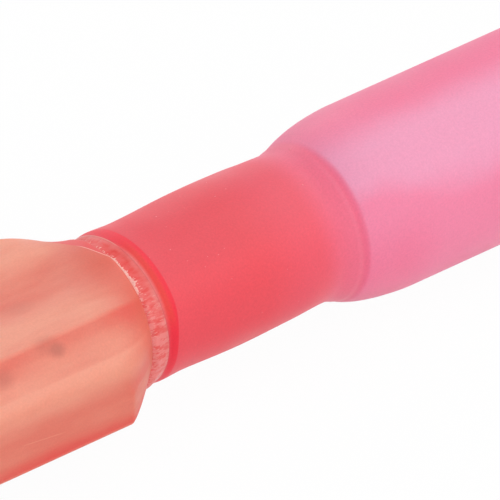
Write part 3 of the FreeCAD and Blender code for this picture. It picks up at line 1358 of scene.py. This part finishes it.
    def build(self) -> None:
        """Weave the housing's shell from its mouth over the outside and back through the bore."""
        shell = RingShell("housing_shell")
        turn = self.end_round
        lead = self.hood_end - self.shoulder_lead
        outside = [(self.mouth, turn), (self.mouth + turn * self.end_share, turn * self.end_share)]
        legs = ((lead, self.hood_steps), (self.junction - self.rim_round, self.shoulder_steps))
        outside += [(x, 0.0) for x in steps(self.mouth + turn, *legs)]
        outside.append((self.junction, self.rim_round * self.rim_share))
        for x, inset in outside:
            shell.add(self.outer_ring(x, inset), tone=[tone for _, _, tone in self.section])
        rim = self.sleeve_radius + self.rim_flare
        inner_rim = rim - self.rim_wall
        circles = [
            (self.junction + self.junction_step, self.sleeve_radius),
            (self.sleeve_end - self.flare_length, self.sleeve_radius),
            (self.sleeve_end, rim),
        ]
        for x in steps(self.sleeve_end, (0.0, self.funnel_steps)):
            circles.append((x, self.bore + (inner_rim - self.bore) * x / self.sleeve_end))
        circles.append((self.bore_start, self.bore))
        circles += [(x, self.passage) for x in (self.passage_end, self.cavity_start)]
        bevel = self.mouth_bevel
        spreads = [(x, 0.0) for x in steps(self.cavity_start, (self.mouth + bevel, self.cavity_steps))]
        spreads += [(self.mouth + bevel / 2, bevel / 2), (self.mouth, bevel)]
        sizes = (self.cavity_width / 2, self.cavity_height / 2, self.cavity_corner)
        inside = [(x, radius, radius, radius) for x, radius in circles]
        inside += [(x, *(size + spread for size in sizes)) for x, spread in spreads]
        for ring in inside:
            shell.add(self.inner_ring(*ring), tone=0.0)
        dress(shell.weave(), self.finish, "nylon_housing")


@dataclass
class ShrunkTube:
    """Dual-wall tube: the pink jacket outside, the adhesive film inside and the bead at the shoulder."""

    jacket_finish: PinkJacket
    glue_finish: HotMelt
    wall: float = 0.4 * MM
    film: float = 0.2 * MM
    around: int = 192
    # The outer line from the lip to the free end: stations of place and radius, the first of them behind
    # the lip, and the last where the tube is nearly as wide as its solid.
    early_lip: float = 0.13 * MM
    lip_radius: float = 2.685 * MM
    swell: Range = mm(0.35, 2.73)
    stations: tuple[Range, ...] = (
        mm(-5.98, 2.69),
        mm(-3.34, 2.762),
        mm(-1.21, 2.728),
        mm(0.25, 2.652),
        mm(0.92, 2.80),
        mm(1.42, 2.985),
        mm(1.93, 3.11),
        mm(2.82, 3.232),
        mm(3.71, 3.288),
    )
    wide_place: float = 4.6 * MM
    wide_slack: float = 0.006 * MM
    free_start: float = 5.0 * MM
    # Places between which the rings stand closer or wider, and how many steps each leg has.
    close_lip: float = 0.4 * MM
    crease_zone: Range = mm(0.2, 2.2)
    end_round: float = 0.05 * MM
    leg_steps: tuple[int, ...] = (20, 40, 60, 24, 24)
    inner_steps: int = 48
    # Unevenness of a tube that was shrunk by hand.
    oval: float = 0.042
    oval_reach: Range = mm(2.6, 0.2)
    sag: Range = mm(0.034, 0.034)
    sag_rise: Range = mm(-5.2, -1.8)
    sag_fall: Range = mm(4.0, 0.4)
    late_flare: float = 0.3 * MM
    flare_rise: Range = mm(-0.6, 0.2)
    flare_fall: Range = mm(3.6, 1.6)
    wander: float = 0.016 * MM
    wander_scale: Range = (0.55, 1.3)
    wander_fall: Range = mm(5.0, 1.0)
    # The crease over the sleeve's rim and the ridge in front of it, fainter on the upper side.
    crease_place: float = 1.15 * MM
    crease_depth: float = 0.015 * MM
    ridge_place: float = 0.94 * MM
    ridge_height: float = 0.008 * MM
    line_width: float = 0.11 * MM
    skin: float = 0.1 * MM
    upper_fade: float = 0.55
    # Where specks lie.
    speck_rise: Range = mm(-6.9, -6.4)
    speck_fall: Range = mm(2.0, 0.6)
    # The bead in front of the lip.
    bead_radius: float = 2.68 * MM
    bead_slump: float = 0.125 * MM
    bead_round: float = 0.2 * MM
    bead_oval: float = 0.6
    smear: float = 0.2 * MM
    settle_reach: Range = (0.35, 1.0)
    lip_overlap: float = 0.06 * MM
    lip_step: float = 0.003 * MM
    bead_rough: float = 0.028 * MM
    rough_reach: Range = (0.95, 0.7)
    rough_scale: float = 2.6
    rough_noise: tuple[float, float, int] = (1.0, 2.0, 4)
    bead_steps: int = 44
    # The froth on the bead.
    froth_start: float = -0.04 * MM
    froth_gap: float = 0.1 * MM
    froth_upper: Range = mm(-0.4, 0.8)
    froth_width: Range = mm(0.34, 0.1)
    froth_least: float = 0.35
    far_fall: Range = mm(-0.6, 0.0)
    far_loss: float = 0.7
    lower_froth: float = 0.1
    # The film's inside over the sleeve.
    sleeve_radius: float = 2.1 * MM
    rim_radius: float = 2.25 * MM
    rim_end: float = 1.15 * MM
    rim_start: float = 0.45 * MM
    funnel_length: float = 3.0 * MM
    funnel_steps: int = 20

    def __post_init__(self) -> None:
        """Read the tube's reach from its solids and set its profile."""
        low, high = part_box("shrink_jacket")
        self.lip = low.x - self.early_lip
        self.end = high.x
        self.radius = high.y
        self.bead_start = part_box("adhesive_liner")[0].x - self.smear
        self.bead_foot = self.bead_start + self.smear
        self.angles = [2 * math.pi * step / self.around for step in range(self.around)]
        first = ((self.lip, self.lip_radius), (self.lip + self.swell[0], self.swell[1]))
        last = (self.wide_place, self.radius - self.wide_slack)
        self.profile = Profile((*first, *self.stations, last))

    def ring(self, x: float, sunk: float = 0.0, wobble: float = 0.0) -> list[Vector]:
        """Return a ring of the hand-shrunk tube: slightly oval, bowed, and slower to flare on top.

        Args:
            x: The ring's place.
            sunk: How far it lies under the tube's outer surface.
            wobble: How far the surface wanders.

        Returns:
            The ring's points.
        """
        oval = self.oval * ramp(x, self.oval_reach)
        bow = ramp(x, self.sag_rise) * ramp(x, self.sag_fall)
        flaring = ramp(x, self.flare_rise) * ramp(x, self.flare_fall)
        fade = self.upper_fade if sunk < self.skin else 0.0
        points = []
        for angle in self.angles:
            y, z = math.cos(angle), math.sin(angle)
            upper = max(0.0, math.cos(angle - UPWARD))
            reach = self.profile.at(x - self.late_flare * flaring * upper * upper)
            reach = reach * (1 + oval * math.cos(2 * angle)) - sunk * (1 - fade * upper)
            if wobble:
                along, across = self.wander_scale
                reach += wobble * noise.noise(Vector((x / MM * along, y * across, z * across)))
            points.append(Vector((x, reach * y + self.sag[0] * bow, reach * z + self.sag[1] * bow)))
        return points

    def circle(self, x: float, radius: float) -> list[Vector]:
        """Return a plain circle at x."""
        return [Vector((x, radius * math.cos(turn), radius * math.sin(turn))) for turn in self.angles]

    def crease(self, x: float) -> float:
        """Return how deep the line over the sleeve's rim lies, with a raised ring beside it.

        Args:
            x: The place along the tube.

        Returns:
            The depth, below 0 on the raised ring.
        """
        off = (x - self.crease_place) / self.line_width
        raised = (x - self.ridge_place) / self.line_width
        return self.crease_depth * math.exp(-off * off) - self.ridge_height * math.exp(-raised * raised)

    def build_jacket(self) -> Object:
        """Weave the jacket: outside from lip to open end, then the inside back.

        Returns:
            The jacket, for the specks that lie on it.
        """
        shell = RingShell("tube_jacket")
        close = self.lip + self.close_lip
        ends = (close, *self.crease_zone, self.free_start, self.end - self.end_round)
        for x in steps(self.lip, *zip(ends, self.leg_steps)):
            settled = ramp(x, self.wander_fall) * ramp(x, (self.lip, close))
            held = ramp(x, self.speck_rise) * ramp(x, self.speck_fall)
            shell.add(self.ring(x, self.crease(x), self.wander * settled), specks=held)
        shell.add(self.ring(self.end, self.end_round), specks=0.0)
        for x in (self.end, self.free_start):
            shell.add(self.circle(x, self.radius - self.wall), specks=0.0)
        for x in reversed(steps(self.lip, (self.free_start, self.inner_steps))[:-1]):
            shell.add(self.ring(x, self.wall), specks=0.0)
        return dress(shell.weave(), self.jacket_finish, "shrink_jacket")

    def froth(self, point: Vector) -> float:
        """Return how frothy the glue is: a thin line along the shoulder, thickest on the upper side.

        Args:
            point: A point of the bead.

        Returns:
            The amount, 0 off the bead.
        """
        run = point.x - self.bead_foot
        if run < self.froth_start or point.x > self.lip - self.froth_gap:
            return 0.0
        upper = ramp(height(point.y, point.z), self.froth_upper)
        line = ramp(run, self.froth_width) * (1 - self.far_loss * ramp(point.y, self.far_fall))
        return line * (self.froth_least + (1 - self.froth_least) * upper) + self.lower_froth * (1 - upper)

    def bead_ring(self, x: float) -> list[Vector]:
        """Return a ring of the bead: it swells from the shoulder, slumps downwards and is a little rough.

        Args:
            x: The ring's place.

        Returns:
            The ring's points.
        """
        run = (x - self.bead_foot) / (self.lip - self.bead_foot)
        settle = ramp(run, self.settle_reach)
        start = max(0.0, 1 - (x - self.bead_start) / (2 * self.smear))
        radius = self.bead_radius + (self.profile.at(self.lip) - self.lip_step - self.bead_radius) * settle
        radius -= self.bead_round * start * start
        slump = self.bead_slump * (1 - settle)
        oval = self.oval * (self.bead_oval + (1 - self.bead_oval) * settle)
        rough = self.bead_rough * ramp(run, self.rough_reach)
        points = []
        for angle in self.angles:
            reach = radius * (1 + oval * math.cos(2 * angle))
            place = Vector((x, reach * math.cos(angle), reach * math.sin(angle))) / MM
            reach += rough * noise.fractal(place * self.rough_scale, *self.rough_noise)
            y = reach * math.cos(angle) - slump * math.cos(UPWARD)
            z = reach * math.sin(angle) - slump * math.sin(UPWARD)
            points.append(Vector((x, y, z)))
        return points

    def build_liner(self) -> Object:
        """Weave the adhesive: the rough bead in front of the lip, then the film to the open end.

        Returns:
            The liner, for the bubbles that lie on its bead.
        """
        shell = RingShell("glue_liner")
        shell.add(self.circle(self.bead_start, self.sleeve_radius), froth=0.0)
        covered = self.lip + self.lip_overlap
        for x in steps(self.bead_start, (covered, self.bead_steps)):
            ring = self.bead_ring(x)
            shell.add(ring, froth=[self.froth(point) for point in ring])
        for x in steps(covered, (self.free_start, self.inner_steps)):
            shell.add(self.ring(x, self.wall), froth=0.0)
        outer = self.radius - self.wall
        free = outer - self.film
        circles = [(self.end, outer), (self.end, free)]
        for x in steps(self.free_start, (self.rim_end, self.funnel_steps)):
            share = ramp(x, (self.rim_end, self.rim_end + self.funnel_length))
            circles.append((x, self.rim_radius + (free - self.rim_radius) * share))
        circles.append((self.rim_start, self.sleeve_radius))
        for x, radius in circles:
            shell.add(self.circle(x, radius), froth=0.0)
        return dress(shell.weave(), self.glue_finish, "adhesive_liner")


@dataclass
class Scatter:
    """Many small lumps that lie on a piece, spread by a Geometry Nodes tree.

    Attributes:
        name: The lumps' name.
        finish: Their finish.
        mark: The piece's attribute that says how thickly they lie.
        density: How many lie on a square metre where the attribute is 1.
        small: The smallest lump's radius.
        large: The largest lump's radius.
        stretch: How much longer a lump is along the terminal.
        flat: How much lower a lump is than it is wide.
        seed: The seed of their places and sizes.
        segments: How many faces a lump has round it.
        rings: How many rows of faces it has.
    """

    name: str
    finish: Finish
    mark: str
    density: float
    small: float
    large: float
    stretch: float = 1.0
    flat: float = 1.0
    seed: int = 1
    segments: int = 6
    rings: int = 4

    def tree(self) -> NodeTree:
        """Build the tree that spreads the lumps.

        Returns:
            The tree, with named inputs for its sizes.
        """
        sizes = dict.fromkeys(LUMP_SIZES, Carries.NUMBER)
        inputs = {"Piece": Carries.SHAPE, **sizes, "Seed": Carries.COUNT, "Finish": Carries.MATERIAL}
        graph, given = open_tree(self.name, "GeometryNodeTree", inputs, {"Lumps": Carries.SHAPE})
        mark = graph.node("GeometryNodeInputNamedAttribute", {"Name": self.mark}, data_type="FLOAT")
        thick = given["Density"] * mark["Attribute"]
        spread = {"Mesh": given["Piece"], "Density": thick, "Seed": given["Seed"]}
        points = graph.node("GeometryNodeDistributePointsOnFaces", spread, distribute_method="RANDOM")
        limits = {RANDOM_LEAST: given["Small"], RANDOM_MOST: given["Large"], "Seed": given["Seed"]}
        across = graph.node("FunctionNodeRandomValue", limits, data_type="FLOAT")[RANDOM_RESULT]
        sides = {"X": across * given["Stretch"], "Y": across, "Z": across * given["Flat"]}
        extent = graph.node("ShaderNodeCombineXYZ", sides)["Vector"]
        shape = {"Segments": self.segments, "Rings": self.rings, "Radius": 1.0}
        ball = graph.node("GeometryNodeMeshUVSphere", shape)["Mesh"]
        align = "FunctionNodeAlignRotationToVector"
        turned = graph.node(align, {"Vector": points["Normal"]}, axis="Z")["Rotation"]
        ahead = {"Rotation": turned, "Vector": (1.0, 0.0, 0.0)}
        levelled = graph.node(align, ahead, axis="X", pivot_axis="Z")["Rotation"]
        placed = {"Points": points["Points"], "Instance": ball, "Rotation": levelled, "Scale": extent}
        lumps = graph.node("GeometryNodeInstanceOnPoints", placed)["Instances"]
        real = graph.node("GeometryNodeRealizeInstances", {"Geometry": lumps})["Geometry"]
        soft = graph.node("GeometryNodeSetShadeSmooth", {"Geometry": real})["Geometry"]
        dressed = graph.node("GeometryNodeSetMaterial", {"Geometry": soft, "Material": given["Finish"]})
        graph.node("NodeGroupOutput", {"Lumps": dressed["Geometry"]})
        return graph.tree

    def build(self, piece: Object) -> None:
        """Spread the lumps on a piece and keep them as a plain mesh.

        Args:
            piece: The finished piece that they lie on.
        """
        tree = self.tree()
        given = {title: getattr(self, title.lower()) for title in (*LUMP_SIZES, "Seed")}
        given["Finish"] = self.finish.material()
        carrier = link(bpy.data.objects.new(self.name, piece.data.copy()))
        modifier = carrier.modifiers.new(self.name, "NODES")
        modifier.node_group = tree
        for socket in tree.interface.items_tree:
            if socket.in_out == "INPUT" and socket.name in given:
                modifier[socket.identifier] = given[socket.name]
        bpy.context.view_layer.update()
        ready = carrier.evaluated_get(bpy.context.evaluated_depsgraph_get())
        mesh = bpy.data.meshes.new_from_object(ready)
        carrier.modifiers.clear()
        carrier.data = mesh
        mesh.name = self.name
        dress(carrier, self.finish)


@dataclass
class SpadeTerminal:
    """Stamped terminal with its curled receptacle and crimp barrel, kept as the solid has it."""

    finish: TinnedBrass

    def build(self) -> None:
        """Give the solid its finish."""
        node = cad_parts["female_terminal"]
        node.data.materials.clear()
        node.data.materials.append(self.finish.material())
        LOG.info("%s: %d faces", node.name, len(node.data.polygons))


@dataclass(frozen=True)
class Lamp:
    """A soft rectangular lamp that shines on the terminal.

    Attributes:
        name: The lamp's name.
        towards: The direction from the terminal to the lamp.
        reach: Its distance.
        across: Its side square to the terminal's length.
        along: Its other side.
        watts: Its power.
    """

    name: str
    towards: Triple
    reach: float
    across: float
    along: float
    watts: float

    def build(self) -> None:
        """Hang the lamp, its first side square to the terminal's length."""
        lamp = bpy.data.lights.new(self.name, "AREA")
        lamp.shape = "RECTANGLE"
        lamp.size = self.across
        lamp.size_y = self.along
        lamp.energy = self.watts
        back = Vector(self.towards).normalized()
        side = Vector((1.0, 0.0, 0.0)).cross(back).normalized()
        turned = Matrix((side, back.cross(side), back)).transposed().to_4x4()
        turned.translation = back * self.reach
        link(bpy.data.objects.new(self.name, lamp)).matrix_world = turned


@dataclass
class Studio:
    """White floor, soft lamps and the camera at the photograph's angle."""

    azimuth: float = -40.02
    elevation: float = 32.64
    distance: float = 0.6
    field_width: float = 16.494 * MM
    aim: Triple = (-1.435 * MM, 0.0, -0.025 * MM)
    sensor: float = 36.0
    clip: Range = (0.01, 10.0)
    room: float = 0.58
    floor_reach: float = 1.5
    lamps: tuple[Lamp, ...] = (
        Lamp("sky_lamp", (0.525, -0.281, 0.802), reach=0.4, across=0.7, along=0.3, watts=0.88),
        Lamp("side_lamp", (-0.45, -0.85, 0.3), reach=0.5, across=0.3, along=0.3, watts=0.5),
        Lamp("back_lamp", (0.2, 0.85, 0.45), reach=0.5, across=0.3, along=0.3, watts=0.4),
    )

    def build_floor(self) -> None:
        """Lay the floor under the terminal's lowest point."""
        low = CAD_BOX[0][2]
        reach = self.floor_reach
        corners = [(-reach, -reach, low), (reach, -reach, low), (reach, reach, low), (-reach, reach, low)]
        mesh = bpy.data.meshes.new("floor")
        mesh.from_pydata(corners, [], [(0, 1, 2, 3)])
        mesh.materials.append(PaleFloor().material())
        link(bpy.data.objects.new("floor", mesh))

    def build_world(self) -> None:
        """Fill the room with even light that the camera sees as white."""
        world = bpy.data.worlds.new("room")
        bpy.context.scene.world = world
        graph = Graph.of(world)
        strength = graph.seen() * (1.0 - self.room) + self.room
        light = graph.node("ShaderNodeBackground", {"Color": WHITE, "Strength": strength})
        graph.node("ShaderNodeOutputWorld", {"Surface": light["Background"]})

    def build_camera(self) -> None:
        """Set up the camera, level and without shift."""
        azimuth = math.radians(self.azimuth)
        elevation = math.radians(self.elevation)
        level = math.cos(elevation)
        back = Vector((math.sin(azimuth) * level, -math.cos(azimuth) * level, math.sin(elevation)))
        data = bpy.data.cameras.new("camera")
        data.sensor_width = self.sensor
        data.lens = self.sensor * self.distance / self.field_width
        data.clip_start, data.clip_end = self.clip
        camera = link(bpy.data.objects.new("camera", data))
        camera.location = Vector(self.aim) + back * self.distance
        camera.rotation_euler = back.to_track_quat("Z", "Y").to_euler()
        bpy.context.scene.camera = camera

    def build(self) -> None:
        """Set up floor, light and camera."""
        self.build_floor()
        self.build_world()
        for lamp in self.lamps:
            lamp.build()
        self.build_camera()
        bpy.context.scene.view_settings.view_transform = "Standard"


def main() -> None:
    """Build every piece in order."""
    logging.basicConfig(level=logging.INFO, format="%(name)s: %(message)s")
    NylonHousing(SalmonNylon("salmon_nylon_look", "salmon_nylon")).build()
    tube = ShrunkTube(PinkJacket("pink_jacket_look", "pink_jacket"), HotMelt("hot_melt_look", "hot_melt"))
    jacket = tube.build_jacket()
    liner = tube.build_liner()
    bubble = PaleLump("bubble_look", "hot_melt")
    small, large = mm(0.005, 0.013)
    bubbles = Scatter("glue_bubbles", bubble, "froth", 3.0e8, small, large, stretch=7.0, flat=0.7, seed=4)
    bubbles.build(liner)
    # The specks get the same painted shade on their lower side.
    speck = PaleLump("speck_look", "pink_jacket", srgb(246, 136, 144), srgb(240, 104, 116))
    small, large = mm(0.01, 0.026)
    specks = Scatter("tube_specks", speck, "specks", 3.0e5, small, large, stretch=1.4, flat=0.5, seed=7)
    specks.build(jacket)
    SpadeTerminal(TinnedBrass("tinned_brass_look", "tinned_brass")).build()
    Studio().build()


if __name__ == "__main__":
    main()
